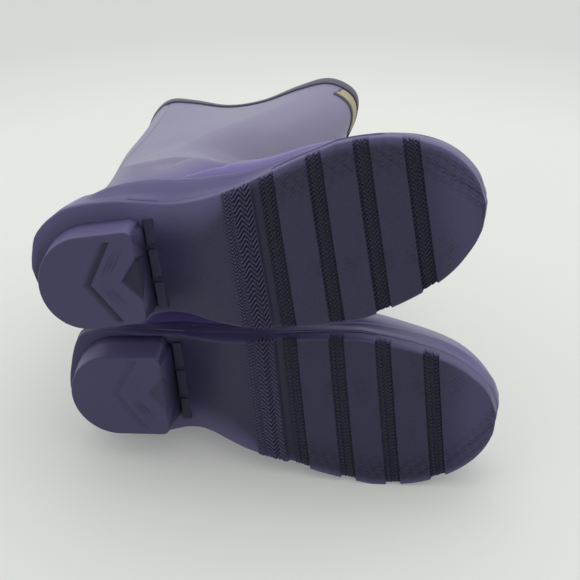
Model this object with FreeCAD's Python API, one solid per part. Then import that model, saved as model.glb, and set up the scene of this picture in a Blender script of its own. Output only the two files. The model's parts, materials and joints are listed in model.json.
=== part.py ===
import FreeCAD, Part
import math
import os

from FreeCAD import Placement, Rotation, Vector

# A pair of rubber wellington boots, stored lying on their sides, one on the other.
# Each boot is modelled standing up in its own frame: x from heel to toe, y to the
# left, z up from the ground. v runs towards the inner (medial) side of the foot,
# so it is +y on the right boot and -y on the left boot.

# ------------------------------------------------------------------ sole sizes, mm
SOLE_LENGTH = 290.0
FOREFOOT_WIDTH = 113.0
WAIST_WIDTH = 77.0
HEEL_WIDTH = 81.0
SOLE_THICKNESS = 12.0       # under the forefoot, tread bars included
FLANGE_THICKNESS = 8.0      # over the heel block
HEEL_HEIGHT = 24.0          # heel block, ground to flange
TOE_SPRING = 12.0           # how far the toe lifts off the ground
SPRING_START = 165.0        # where the sole starts to lift, from its back end
SEAT_OVERHANG = 4.0         # the seat stays level this far past the heel block
SEAT_END = 157.0            # where the sole's upper face has come down to the tread
TREAD_STEP = 1.5            # the tread stands this far below the waist

HEEL_SETBACK = 8.5          # heel block's back edge from the sole's back end
HEEL_BLOCK_LENGTH = 65.0
HEEL_BLOCK_WIDTH = 60.0
HEEL_OUTSET = 4.5           # how far the heel block stands to the outer side
HEEL_FLARE = 2.5            # how much wider each side is at the flange
HEEL_WALL = 9.0
HEEL_FLOOR = 5.0            # rubber between the ground and the core
CHEVRON_DEPTH = 1.2
CHEVRON_REACH = 31.0        # breast to the chevron's point
CHEVRON_ARM = 20.0          # width of the chevron's recessed band along the sole

TREAD_START = 132.0         # from the sole's back end
FIRST_GROOVE = 156.5
GROOVE_PITCH = 29.7
GROOVE_WIDTH = 9.8
GROOVE_DEPTH = 3.5
GROOVE_COUNT = 4

# ----------------------------------------------------------------- upper sizes, mm
INSTEP_HEIGHT = 144.0       # ground to the throat, at the front of the ankle
LEG_HEIGHT = 290.0          # ground to the rim
ANKLE_LENGTH = 112.0        # heel to throat
ANKLE_WIDTH = 80.0
SEAM_BACK_HEIGHT = 84.0     # joint of vamp and leg, at the back
SEAM_FRONT_HEIGHT = 167.0   # and at the front

RUBBER = 2.4
STIFFENER = 0.8
LINING = 1.4
TRIM = 1.2                  # foxing, back strip, label and edging
BOND_GAP = 0.2              # between pieces glued or vulcanised together
FOOTBED_GAP = 0.4           # round the loose footbed
BOARD = 2.0
BOARD_RISE = 0.5            # board over the lining, which curves up at its edges
FOOTBED = 4.0

FILLER = 3.0
FILLER_MARGIN = 11.0        # sole edge to filler
SHANK_THICKNESS = 1.2
SHANK_WIDTH = 18.0
SHANK_START = 52.0
SHANK_END = 148.0

FOXING_HEIGHT = 13.0
BACK_STRIP_WIDTH = 26.0
BINDING_HEIGHT = 5.0
LABEL_WIDTH = 36.0
LABEL_HEIGHT = 13.0
LABEL_DROP = 4.0            # under the edging
LABEL_BEARING = 33.0        # degrees from the toe direction towards the inner side
LABEL_FRAME = 2.6
STIFFENER_TOE = 62.0        # toe puff's length back from the toe
STIFFENER_HEEL = 62.0       # heel stiffener's length from the heel
TOE_CAP_OVERLAP = 6.0       # toe cap's length past the toe puff
COUNTER_LENGTH = 112.0      # rubber round the heel, back to its joint with the vamp
STIFFENER_HEIGHT = 44.0     # its height over the heel seat

# How each leg has settled: where its rim's centre lies, and the rim's half sizes.
RIGHT_LEG = {"centre": 92.0, "inward": 9.4, "half_length": 77.0, "half_width": 45.5}
LEFT_LEG = {"centre": 110.0, "inward": 14.1, "half_length": 82.0, "half_width": 37.5}

# How each boot lies: turns about x, y and z in degrees, after it is laid on its side.
RIGHT_TURNS = (1.0, -5.25, 1.4)
LEFT_TURNS = (-9.0, -9.6, 6.8)
LEFT_OFFSET = Vector(-6.1, -28.4, 102.1)

FAR = 400.0                 # reach of cutting prisms, past any piece
RING_POINTS = 24

# Sole edge as (share of the sole's length, share of the width there), heel to toe.
INNER_EDGE = [(0.010, 0.10), (0.028, 0.32), (0.069, 0.47), (0.131, 0.53), (0.214, 0.52),
              (0.297, 0.50), (0.372, 0.487), (0.448, 0.488), (0.524, 0.505),
              (0.603, 0.536), (0.683, 0.554), (0.759, 0.566), (0.834, 0.549),
              (0.903, 0.487), (0.955, 0.389), (0.990, 0.248), (1.0, 0.115)]
OUTER_EDGE = [(0.010, 0.10), (0.028, -0.173), (0.069, -0.358), (0.131, -0.457),
              (0.207, -0.469), (0.303, -0.487), (0.397, -0.516), (0.483, -0.52),
              (0.569, -0.492), (0.676, -0.444), (0.762, -0.394), (0.841, -0.327),
              (0.903, -0.248), (0.948, -0.150), (0.986, -0.018), (1.0, 0.115)]

# How far the upper stands out past the sole's edge, by share of the sole's length.
INNER_BULGE = [(0.0, 0.0), (0.10, 5.0), (0.20, 10.0), (0.30, 13.3), (0.38, 13.3),
               (0.50, 7.5), (0.62, 2.5), (0.72, -1.0), (0.95, -1.5), (1.0, -1.5)]
OUTER_BULGE = [(0.0, 0.0), (0.15, 3.0), (0.30, 5.0), (0.50, 2.5), (0.70, 1.0),
               (0.90, 0.5), (1.0, -1.0)]


# ------------------------------------------------------------------------- curves
def through(points, x):
    """Smooth curve through (x, y) points, flat past both ends."""
    if x <= points[0][0]:
        return points[0][1]
    if x >= points[-1][0]:
        return points[-1][1]
    last = len(points) - 1
    i = max(k for k in range(last) if points[k][0] <= x)

    def slope(k):
        a, b = points[max(k - 1, 0)], points[min(k + 1, last)]
        return (b[1] - a[1]) / (b[0] - a[0])

    (x0, y0), (x1, y1) = points[i], points[i + 1]
    step = x1 - x0
    t = (x - x0) / step
    rise = y0 * (1 + 2 * t) * (1 - t) ** 2 + y1 * t * t * (3 - 2 * t)
    return rise + step * t * (1 - t) * (slope(i) * (1 - t) - slope(i + 1) * t)


def ease(t):
    t = min(max(t, 0.0), 1.0)
    return t * t * (3 - 2 * t)


def mix(a, b, t):
    return a + (b - a) * t


def sole_width(u):
    share = u / SOLE_LENGTH
    return through([(0.20, HEEL_WIDTH), (0.34, WAIST_WIDTH), (0.71, FOREFOOT_WIDTH)], share)


def inner_edge(u):
    return through(INNER_EDGE, u / SOLE_LENGTH) * sole_width(u)


def outer_edge(u):
    return through(OUTER_EDGE, u / SOLE_LENGTH) * sole_width(u)


def spring(u):
    return TOE_SPRING * max(0.0, (u - SPRING_START) / (SOLE_LENGTH - SPRING_START)) ** 2


def breast():
    return HEEL_SETBACK + HEEL_BLOCK_LENGTH


def heel_seat():
    return HEEL_HEIGHT + FLANGE_THICKNESS


def sole_top(u):
    """Height of the sole's upper face, which carries the upper."""
    start = breast() + SEAT_OVERHANG
    drop = ease((u - start) / (SEAT_END - start))
    return mix(heel_seat(), SOLE_THICKNESS, drop) + spring(u)


def sole_under(u):
    """Height of the waist's lower face, between the heel block and the tread."""
    return mix(HEEL_HEIGHT, TREAD_STEP, ease((u - breast()) / (TREAD_START - breast())))


# ------------------------------------------------------------------ small builders
def closed_wire(points):
    """Smooth closed wire with evenly numbered points, so that rings of one count match."""
    curve = Part.BSplineCurve()
    numbers = [float(k) for k in range(len(points) + 1)]
    curve.interpolate(Points=points, PeriodicFlag=True, Parameters=numbers)
    return Part.Wire([curve.toShape()])


def curve_edge(points):
    curve = Part.BSplineCurve()
    curve.interpolate(Points=points)
    return curve.toShape()


def prism(points):
    """Prism right across the boot, from (x, z) corners."""
    corners = [Vector(x, -FAR, z) for x, z in points]
    face = Part.Face(Part.makePolygon(corners + corners[:1]))
    return face.extrude(Vector(0, 2 * FAR, 0))


def slab(low, high, start, end):
    """Layer right across the boot between two heights that follow the sole."""
    count = 14
    stations = [mix(start, end, k / count) for k in range(count + 1)]
    under = curve_edge([Vector(x, -FAR, low(x)) for x in stations])
    over = curve_edge([Vector(x, -FAR, high(x)) for x in stations])
    ends = [Part.makeLine(Vector(x, -FAR, low(x)), Vector(x, -FAR, high(x))) for x in (start, end)]
    face = Part.Face(Part.Wire(Part.__sortEdges__([under, ends[1], over, ends[0]])))
    return face.extrude(Vector(0, 2 * FAR, 0))


def sole_outline(side, inset):
    """Upright block with the sole's outline, moved in by inset."""
    loop = [(u * SOLE_LENGTH, v * sole_width(u * SOLE_LENGTH)) for u, v in INNER_EDGE]
    loop += [(u * SOLE_LENGTH, v * sole_width(u * SOLE_LENGTH)) for u, v in OUTER_EDGE[-2:0:-1]]
    points = []
    for k, (u, v) in enumerate(loop):
        before, after = loop[k - 1], loop[(k + 1) % len(loop)]
        along = Vector(after[0] - before[0], after[1] - before[1], 0).normalize()
        points.append(Vector(u + along.y * inset, side * (v - along.x * inset), -1.0))
    face = Part.Face(closed_wire(points))
    return face.extrude(Vector(0, 0, LEG_HEIGHT))


def heel_plan(inset, height):
    """D-shaped outline of the heel block at one height, as a wire."""
    half = HEEL_BLOCK_WIDTH / 2 - inset
    centre = HEEL_SETBACK + HEEL_BLOCK_WIDTH / 2
    front = breast() - max(inset, 0.0)
    back = Part.Arc(Vector(centre, half, height), Vector(centre - half, 0, height),
                    Vector(centre, -half, height)).toShape()
    corners = [Vector(centre, -half, height), Vector(front, -half, height),
               Vector(front, half, height), Vector(centre, half, height)]
    sides = [Part.makeLine(corners[k], corners[k + 1]) for k in range(3)]
    return Part.Wire([back] + sides)


# ------------------------------------------------------------- sections of an upper
class Section:
    """One flat slice of the upper, from a far point (sole, heel or back of the leg)
    to a near point (instep or front of the leg)."""

    def __init__(self, far, near, inner, outer, square=2.1, taper=0.0, lead=0.0):
        self.far = far
        self.near = near
        self.inner = inner
        self.outer = outer
        self.square = square      # how square the far end is
        self.taper = taper        # how much the near end narrows
        self.lead = lead          # how far the surface here faces the toe, 0 to 1

    def ring(self, side, shrink):
        """The slice's outline as a closed wire, moved inwards by shrink."""
        reach = math.hypot(self.near[0] - self.far[0], self.near[1] - self.far[1])
        centre = (self.inner + self.outer) / 2
        half = (self.inner - self.outer) / 2
        flat = []
        for k in range(RING_POINTS):
            turn = 2 * math.pi * k / RING_POINTS
            along, across = -math.cos(turn), math.sin(turn)
            power = 2 / (self.square if along < 0 else 2.1)
            along = math.copysign(abs(along) ** power, along)
            across = math.copysign(abs(across) ** power, across)
            width = half * (1 - self.taper * (along + 0.4))
            flat.append((reach * (along + 1) / 2, centre + across * width))
        inward = shrink * math.sqrt(1 - self.lead ** 2)
        ahead = ((self.near[0] - self.far[0]) / reach, (self.near[1] - self.far[1]) / reach)
        points = []
        for k, (along, across) in enumerate(flat):
            before, after = flat[k - 1], flat[(k + 1) % RING_POINTS]
            tangent = Vector(after[0] - before[0], after[1] - before[1], 0).normalize()
            along += tangent.y * inward
            across -= tangent.x * inward
            points.append(Vector(self.far[0] + ahead[0] * along - ahead[1] * self.lead * shrink,
                                 side * across,
                                 self.far[1] + ahead[1] * along + ahead[0] * self.lead * shrink))
        return closed_wire(points)


# Foot slices, toe to heel: share of the sole's length at the sole, share of the way
# from throat to toe at the instep, height as a share of the instep's, lead, taper.
FOOT_SLICES = [(0.9955, 0.9925, 0.264, 0.96, 0.10), (0.985, 0.976, 0.326, 0.82, 0.12),
               (0.962, 0.938, 0.378, 0.60, 0.15), (0.922, 0.873, 0.427, 0.38, 0.18),
               (0.862, 0.775, 0.472, 0.20, 0.22), (0.786, 0.653, 0.517, 0.08, 0.25),
               (0.707, 0.532, 0.562, 0.0, 0.26), (0.620, 0.400, 0.625, 0.0, 0.26),
               (0.520, 0.263, 0.694, 0.0, 0.25), (0.415, 0.162, 0.764, 0.0, 0.22),
               (0.310, 0.081, 0.840, 0.0, 0.18), (0.205, 0.032, 0.924, 0.0, 0.12),
               (0.095, 0.010, 1.0, 0.0, 0.08)]

# Heel slices: distance in front of the sole's back end and height over the heel seat
# at the back, then height over the instep at the front, how square the back is, and
# how far the slice stands out past the ankle on the inner side.
HEEL_SLICES = [(6.5, 11.0, 9.0, 2.5, 6.0), (-0.5, 34.0, 19.0, 2.3, 4.0),
               (3.0, 64.0, 31.0, 2.2, 1.5)]
INSTEP_LEAN = 12.0          # the instep rises this many times faster than it comes back

ANKLE_BACK = 7.0            # back of the ankle, in front of the sole's back end
ANKLE_RISE = 100.0          # its height over the heel seat
THROAT_RISE = 47.0          # front of the ankle over the instep
LEG_SLICES = [0.0, 0.27, 0.55, 0.80, 1.0, 1.06]


def throat():
    return ANKLE_BACK + ANKLE_LENGTH - 2.0


def leg_slice(leg, share):
    """Slice of the leg, from 0 at the ankle to 1 at the rim."""
    far_rim = leg["centre"] - leg["half_length"]
    near_rim = leg["centre"] + leg["half_length"]
    far = (mix(ANKLE_BACK, far_rim, share ** 1.2),
           mix(heel_seat() + ANKLE_RISE, LEG_HEIGHT, share))
    near = (mix(throat() + THROAT_RISE / INSTEP_LEAN, near_rim, share),
            mix(INSTEP_HEIGHT + THROAT_RISE, LEG_HEIGHT, share))
    half = mix(ANKLE_WIDTH / 2, leg["half_width"], share)
    centre = leg["inward"] * share
    return Section(far, near, centre + half, centre - half)


def slices(leg):
    """Every slice of one upper, from the toe to just past the rim."""
    result = []
    for low, high, height, lead, taper in FOOT_SLICES:
        u = low * SOLE_LENGTH
        near = (mix(throat(), SOLE_LENGTH, high), height * INSTEP_HEIGHT)
        result.append(Section((u, sole_top(u)), near, inner_edge(u) + through(INNER_BULGE, low),
                              outer_edge(u) - through(OUTER_BULGE, low), 3.0, taper, lead))
    for back, rise, front_rise, square, bulge in HEEL_SLICES:
        far = (back, heel_seat() + rise)
        near = (throat() + front_rise / INSTEP_LEAN, INSTEP_HEIGHT + front_rise)
        half = ANKLE_WIDTH / 2
        result.append(Section(far, near, half + bulge, -half, square))
    return result + [leg_slice(leg, share) for share in LEG_SLICES]


# ------------------------------------------------------------------ pieces of a sole
def outsole(side):
    def top(u):
        return sole_top(u) - BOND_GAP

    def recess_floor(u):
        return top(u) - FILLER - BOND_GAP

    def flange_under(u):
        return HEEL_HEIGHT

    body = slab(flange_under, top, 0.0, breast())
    body = body.fuse(slab(sole_under, top, breast(), TREAD_START))
    body = body.fuse(slab(spring, top, TREAD_START, SOLE_LENGTH + 1.0))
    body = body.common(sole_outline(side, 0.0))
    recess = slab(recess_floor, sole_top, 0.0, SOLE_LENGTH)
    body = body.cut(recess.common(sole_outline(side, FILLER_MARGIN)))
    for k in range(GROOVE_COUNT):
        start = FIRST_GROOVE + k * GROOVE_PITCH
        end = start + GROOVE_WIDTH
        body = body.cut(prism([(start, -1.0), (end, -1.0), (end, spring(end) + GROOVE_DEPTH),
                               (start, spring(start) + GROOVE_DEPTH)]))
    return body


def shank_space(margin):
    """The shank's own volume, or with a margin the slot that takes it."""
    def low(u):
        return sole_top(u) - 3 * BOND_GAP - SHANK_THICKNESS - margin

    def high(u):
        return sole_top(u) - 3 * BOND_GAP + margin * FAR

    strip = slab(low, high, SHANK_START - margin, SHANK_END + margin)
    width = SHANK_WIDTH + 2 * margin
    return strip.common(Part.makeBox(FAR, width, FAR, Vector(0, -width / 2, 0)))


def midsole_filler(side, upper):
    def low(u):
        return sole_top(u) - BOND_GAP - FILLER

    def high(u):
        return sole_top(u) - 2 * BOND_GAP

    sheet = slab(low, high, 0.0, SOLE_LENGTH)
    sheet = sheet.common(sole_outline(side, FILLER_MARGIN + BOND_GAP))
    return sheet.cut(shank_space(BOND_GAP)).cut(upper.solid(-BOND_GAP))


def heel_block(side):
    block = Part.makeLoft([heel_plan(0.0, 0.0), heel_plan(-HEEL_FLARE, HEEL_HEIGHT)], True, True)
    hollow = Part.Face(heel_plan(HEEL_WALL, HEEL_FLOOR))
    block = block.cut(hollow.extrude(Vector(0, 0, HEEL_HEIGHT)))
    half = HEEL_BLOCK_WIDTH / 2
    point = breast() - CHEVRON_REACH
    inner_point = point + CHEVRON_ARM
    slope = half / (breast() - point)
    front = breast() + 1.0
    band = [(point, 0.0), (front, slope * (front - point)),
            (front, slope * (front - inner_point)), (inner_point, 0.0),
            (front, -slope * (front - inner_point)), (front, -slope * (front - point))]
    corners = [Vector(u, v, 0.0) for u, v in band]
    chevron = Part.Face(Part.makePolygon(corners + corners[:1]))
    return outset(side, block.cut(chevron.extrude(Vector(0, 0, CHEVRON_DEPTH))))


def heel_core(side):
    plan = Part.Face(heel_plan(HEEL_WALL + BOND_GAP, HEEL_FLOOR + BOND_GAP))
    return outset(side, plan.extrude(Vector(0, 0, HEEL_HEIGHT - HEEL_FLOOR - 2 * BOND_GAP)))


def outset(side, shape):
    """A piece of the heel, moved to where the heel stands under the sole."""
    return shape.translated(Vector(0, -side * HEEL_OUTSET, 0))


# ------------------------------------------------------------- pieces of an upper
class Upper:
    """The nested surfaces of one upper, and the zones that divide it into pieces."""

    def __init__(self, side, leg):
        self.side = side
        self.leg = leg
        self.slices = slices(leg)
        self.solids = {}
        self.shells = {}

    def solid(self, depth):
        """Solid inside the surface that lies this deep under the rubber's face.
        Foot and leg are lofted apart, and share the lowest heel slice."""
        if depth not in self.solids:
            rings = [piece.ring(self.side, depth) for piece in self.slices]
            shared = len(FOOT_SLICES)
            foot = Part.makeLoft(rings[:shared + 1], True)
            self.solids[depth] = foot.fuse(Part.makeLoft(rings[shared:], True))
        return self.solids[depth]

    def layer(self, outer_depth, inner_depth, zone):
        """The part of the shell between two depths that lies in one zone."""
        depths = (outer_depth, inner_depth)
        if depths not in self.shells:
            self.shells[depths] = self.solid(outer_depth).cut(self.solid(inner_depth))
        return self.shells[depths].common(zone)

    def foot_zone(self):
        return seam_prism(-FAR, 0.0)

    def leg_zone(self):
        return seam_prism(BOND_GAP, FAR).common(below_rim(0.0))

    def toe_zone(self, margin):
        start = SOLE_LENGTH - STIFFENER_TOE - margin
        return Part.makeBox(FAR, 2 * FAR, FAR, Vector(start, -FAR, 0))

    def heel_zone(self, margin):
        height = heel_seat() + STIFFENER_HEIGHT + margin
        length = STIFFENER_HEEL + margin
        return Part.makeBox(FAR, 2 * FAR, height, Vector(length - FAR, -FAR, 0))

    def leg_centre(self, height):
        """Where the middle of the leg lies across the boot at one height."""
        foot = heel_seat() + ANKLE_RISE
        return self.leg["inward"] * max(0.0, (height - foot) / (LEG_HEIGHT - foot))

    def back_zone(self):
        low = heel_seat() + FOXING_HEIGHT + 2 * BOND_GAP
        high = LEG_HEIGHT - BINDING_HEIGHT - BOND_GAP
        bend = heel_seat() + ANKLE_RISE
        half = BACK_STRIP_WIDTH / 2
        heights = [low, bend, high]
        edge = [Vector(-FAR, self.side * (self.leg_centre(z) + half), z) for z in heights]
        edge += [Vector(-FAR, self.side * (self.leg_centre(z) - half), z) for z in heights[::-1]]
        face = Part.Face(Part.makePolygon(edge + edge[:1]))
        return face.extrude(Vector(FAR + throat() / 2, 0, 0))

    def label_zone(self, margin):
        """Box on the front of the leg, turned towards the inner side."""
        width = LABEL_WIDTH + 2 * margin
        height = LABEL_HEIGHT + 2 * margin
        top = LEG_HEIGHT - BINDING_HEIGHT - LABEL_DROP + margin
        box = Part.makeBox(FAR, width, height, Vector(0, -width / 2, top - height))
        turn = Rotation(Vector(0, 0, 1), self.side * LABEL_BEARING)
        centre = Vector(self.leg["centre"], self.side * self.leg_centre(top), 0)
        box.Placement = Placement(centre, turn)
        return box


def seam_prism(low, high):
    """Everything between two offsets from the slanting joint of vamp and leg."""
    slope = (SEAM_FRONT_HEIGHT - SEAM_BACK_HEIGHT) / throat()

    def seam(u, offset):
        return (u, SEAM_BACK_HEIGHT + slope * u + offset)

    return prism([seam(-FAR, low), seam(FAR, low), seam(FAR, high), seam(-FAR, high)])


def below_rim(offset):
    return prism([(-FAR, -FAR), (FAR, -FAR), (FAR, LEG_HEIGHT + offset),
                  (-FAR, LEG_HEIGHT + offset)])


def above_rim(offset):
    return prism([(-FAR, LEG_HEIGHT + offset), (FAR, LEG_HEIGHT + offset), (FAR, 2 * FAR),
                  (-FAR, 2 * FAR)])


POCKET_DEPTH = RUBBER - STIFFENER - BOND_GAP
LINING_DEPTH = RUBBER + BOND_GAP
INSIDE_DEPTH = LINING_DEPTH + LINING
FOOTBED_DEPTH = INSIDE_DEPTH + FOOTBED_GAP
TRIM_DEPTH = -TRIM - BOND_GAP


def foot_piece(upper, start, end):
    """Outer rubber of the foot between two places along it, with the stiffeners' pockets."""
    stretch = Part.makeBox(end - start, 2 * FAR, 2 * FAR, Vector(start, -FAR, -FAR))
    shell = upper.layer(0.0, RUBBER, upper.foot_zone().common(stretch))
    for zone in (upper.toe_zone(BOND_GAP), upper.heel_zone(BOND_GAP)):
        shell = shell.cut(upper.solid(POCKET_DEPTH).common(zone))
    return shell


def stiffener(upper, zone):
    return upper.layer(RUBBER - STIFFENER, RUBBER, zone)


def foxing(upper):
    def low(u):
        return sole_top(u) + BOND_GAP

    def high(u):
        return sole_top(u) + FOXING_HEIGHT

    return upper.layer(TRIM_DEPTH, -BOND_GAP, slab(low, high, -20.0, SOLE_LENGTH + 20.0))


def top_binding(upper):
    band = upper.layer(TRIM_DEPTH, -BOND_GAP, above_rim(-BINDING_HEIGHT).common(below_rim(BOND_GAP)))
    cap = upper.layer(TRIM_DEPTH, INSIDE_DEPTH,
                      above_rim(BOND_GAP).common(below_rim(BOND_GAP + TRIM)))
    return band.fuse(cap)


def insole_layer(upper, rise, thickness):
    def low(u):
        return sole_top(u) + INSIDE_DEPTH + rise

    def high(u):
        return low(u) + thickness

    return upper.solid(FOOTBED_DEPTH).common(slab(low, high, -5.0, SOLE_LENGTH + 5.0))


def boot(side, leg):
    """All pieces of one boot, by name, standing on the ground."""
    upper = Upper(side, leg)
    skin = (TRIM_DEPTH, -BOND_GAP)
    toe_cap = SOLE_LENGTH - STIFFENER_TOE - TOE_CAP_OVERLAP
    frame = upper.label_zone(LABEL_FRAME).cut(upper.label_zone(BOND_GAP))
    return {
        "outsole": outsole(side),
        "heel_block": heel_block(side),
        "heel_core": heel_core(side),
        "midsole_filler": midsole_filler(side, upper),
        "shank": shank_space(0.0),
        "insole_board": insole_layer(upper, BOARD_RISE, BOARD),
        "footbed": insole_layer(upper, BOARD_RISE + BOARD + FOOTBED_GAP, FOOTBED),
        "counter": foot_piece(upper, -FAR, COUNTER_LENGTH - BOND_GAP),
        "vamp": foot_piece(upper, COUNTER_LENGTH, toe_cap - BOND_GAP),
        "toe_cap": foot_piece(upper, toe_cap, FAR),
        "leg": upper.layer(0.0, RUBBER, upper.leg_zone()),
        "toe_puff": stiffener(upper, upper.toe_zone(0.0)),
        "heel_stiffener": stiffener(upper, upper.heel_zone(0.0)),
        "foot_lining": upper.layer(LINING_DEPTH, INSIDE_DEPTH, upper.foot_zone()),
        "leg_lining": upper.layer(LINING_DEPTH, INSIDE_DEPTH, upper.leg_zone()),
        "foxing": foxing(upper),
        "back_strip": upper.layer(*skin, upper.back_zone()),
        "top_binding": top_binding(upper),
        "label": upper.layer(*skin, upper.label_zone(0.0)),
        "label_frame": upper.layer(*skin, frame),
    }


# ------------------------------------------------------------------ the pair, lying
def lying(turns, place):
    """Placement that lays a boot on its side, the right boot's inner side down."""
    on_side = Rotation(Vector(1, 0, 0), turns[0] - 90)
    turn = Rotation(Vector(0, 0, 1), turns[2]).multiply(Rotation(Vector(0, 1, 0), turns[1]))
    return Placement(place, turn.multiply(on_side))


def corners(shapes):
    """Lowest and highest corner of some solids, from a fine mesh of their faces."""
    points = [p for shape in shapes for p in shape.tessellate(0.1)[0]]
    low = Vector(*(min(p[axis] for p in points) for axis in range(3)))
    high = Vector(*(max(p[axis] for p in points) for axis in range(3)))
    return low, high


def pair():
    pieces = {}
    for name, side, leg, turns, place in (
            ("right", 1, RIGHT_LEG, RIGHT_TURNS, Vector(0, 0, 0)),
            ("left", -1, LEFT_LEG, LEFT_TURNS, LEFT_OFFSET)):
        for piece, shape in boot(side, leg).items():
            shape.Placement = lying(turns, place).multiply(shape.Placement)
            pieces[name + "_" + piece] = shape
    low, high = corners(pieces.values())
    origin = Vector((low.x + high.x) / 2, (low.y + high.y) / 2, low.z)
    for shape in pieces.values():
        shape.Placement = Placement(-origin, Rotation()).multiply(shape.Placement)
    return pieces


os.makedirs("parts", exist_ok=True)
for node, shape in pair().items():
    shape.exportStep("parts/" + node + ".step")
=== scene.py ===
import json
import math

import bmesh
import bpy
from mathutils import Matrix, Vector
from mathutils.bvhtree import BVHTree


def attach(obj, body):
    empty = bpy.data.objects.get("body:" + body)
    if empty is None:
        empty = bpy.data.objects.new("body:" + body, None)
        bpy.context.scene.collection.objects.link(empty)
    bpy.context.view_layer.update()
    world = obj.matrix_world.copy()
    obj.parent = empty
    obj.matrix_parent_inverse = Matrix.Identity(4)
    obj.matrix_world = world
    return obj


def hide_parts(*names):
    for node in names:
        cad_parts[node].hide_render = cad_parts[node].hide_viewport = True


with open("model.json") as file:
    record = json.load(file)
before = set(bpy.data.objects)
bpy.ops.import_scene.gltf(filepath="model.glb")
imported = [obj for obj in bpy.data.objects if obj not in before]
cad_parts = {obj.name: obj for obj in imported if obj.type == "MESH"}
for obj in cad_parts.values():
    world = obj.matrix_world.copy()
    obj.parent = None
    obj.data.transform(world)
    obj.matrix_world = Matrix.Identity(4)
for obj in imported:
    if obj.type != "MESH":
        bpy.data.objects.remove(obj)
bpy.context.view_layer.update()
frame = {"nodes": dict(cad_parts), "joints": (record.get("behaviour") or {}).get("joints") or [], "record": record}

# A pair of rubber wellington boots lying on their sides, the left boot on the right one.
# Each boot is worked out standing up, in millimetres: u from heel to toe, v towards the
# inner side of the foot, z up from the ground. Its place turns that into the lying pair.

# ------------------------------------------------------------------ sizes of a boot, mm
SOLE_LENGTH = 290.0
FOREFOOT_WIDTH = 113.0
WAIST_WIDTH = 77.0
HEEL_WIDTH = 81.0
SOLE_THICKNESS = 12.0
HEEL_HEIGHT = 24.0
HEEL_SEAT = 32.0
TOE_SPRING = 12.0
SPRING_START = 165.0
SEAT_START = 75.0
SEAT_END = 157.0
TREAD_STEP = 1.5
LEG_HEIGHT = 290.0

HEEL_BACK = 8.5             # heel block's back from the sole's back end
BREAST = 73.5               # heel block's front
HEEL_HALF = 30.0
HEEL_OUTSET = 4.5           # towards the outer side
HEEL_FLARE = 2.5            # wider on each side at the flange
HEEL_CORNER = 6.0
HEEL_ACROSS = 116           # steps across the ground face
BREAST_SLOPE = 2.2
V_POINT = 41.5              # the sunk V: its point, its middle and how steep its arms are
V_MIDDLE = 6.0
V_SLOPE = 0.64
WEAR = {"left": 0.1, "right": 0.72}
STRIP_START = 76.0          # the stepped strip ahead of the heel
STRIP_END = 82.8
STRIP_ACROSS = (-33.0, 26.0)
STRIP_NOTCHES = (8.5, -13.5)

BAND_START = 132.0          # zigzag band, fine and then coarse
BAND_SPLIT = 139.5
BAND_END = 150.5
FIRST_GROOVE = 156.5
GROOVE_PITCH = 29.7
GROOVE_WIDTH = 9.8
GROOVE_DEPTH = 3.3
GROOVE_COUNT = 4
SOLE_ACROSS = 236           # steps across the ground face
RIB_STEP = 0.72             # cuts along the zigzag band
BAR_STEP = 1.2              # and along the bars

# Herringbone ribs as (fold's length, pitch, depth).
FINE_RIBS = (4.2, 2.3, 1.4)
COARSE_RIBS = (7.6, 3.2, 1.8)
GROOVE_RIBS = (4.9, 2.7, 1.5)
WORN_RIBS = (6.0, 3.0, 0.9)

# How much the sole rises at its edges, along its length.
CROWN = [(0, 1.2), (60, 1.4), (85, 3.6), (125, 3.2), (140, 1.8), (270, 1.8), (290, 1.2)]

FOXING_HEIGHT = 13.0
FOXING_RISES = (-0.2, 3.0, 6.0, 9.0, 11.0, FOXING_HEIGHT)    # over the sole's edge
FOXING_LIFTS = (0.6, 1.4, 1.4, 1.4, 1.3, 0.3)                # off the upper, at each rise
FOXING_LEAST = (-0.7, -0.5, -0.7, -1.6, -3.5, -30.0)         # off the sole's edge, at least

WALL = 1.3
LINING_DEPTH = 2.6
LINING = 1.4
TOE_LINING = 280.0          # where the lining's toe ends
TOE_SMOOTHED = 281.0        # the upper is smoothed from here on
TOE_PUFF = (284.5, SOLE_LENGTH - 62.0)
STIFFENER_SPREAD = 18       # ring points on each side of the back
STIFFENER_DEPTHS = (1.5, 2.4)
STIFFENER_REACH = 60.0
STIFFENER_TOP = 74.0
FOOTBED_WAIST = (0.3, 88.0, 62.0)      # left footbed drawn in: share, middle, length

BINDING_HEIGHT = 5.0
BAND_HEIGHT = 7.5
BEAD = 1.5
BACK_STRIP_HALF = (40.0, 50.0)         # at the heel and at the rim
BACK_STRIP_WALL = 0.5
LABEL_MIDDLE = {"left": (189.0, 31.0), "right": (163.0, 33.0)}
LABEL_HALF = 17.0
LABEL_LOW = 273.0
LABEL_WIDTH = 7.5
LABEL_LIFT = 1.3
LABEL_WALL = 0.8
RAIL_LIFT = 0.7
RAIL_WALL = 0.6

# Sole edge as (share of the sole's length, share of the width there), heel to toe.
INNER_EDGE = [(0.010, 0.10), (0.028, 0.32), (0.069, 0.47), (0.131, 0.53), (0.214, 0.52),
              (0.297, 0.50), (0.372, 0.487), (0.448, 0.488), (0.524, 0.505),
              (0.603, 0.536), (0.683, 0.554), (0.759, 0.566), (0.834, 0.549),
              (0.903, 0.487), (0.955, 0.389), (0.990, 0.248), (1.0, 0.115)]
OUTER_EDGE = [(0.010, 0.10), (0.028, -0.173), (0.069, -0.358), (0.131, -0.457),
              (0.207, -0.469), (0.303, -0.487), (0.397, -0.516), (0.483, -0.52),
              (0.569, -0.492), (0.676, -0.444), (0.762, -0.394), (0.841, -0.327),
              (0.903, -0.248), (0.948, -0.150), (0.986, -0.018), (1.0, 0.115)]

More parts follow.
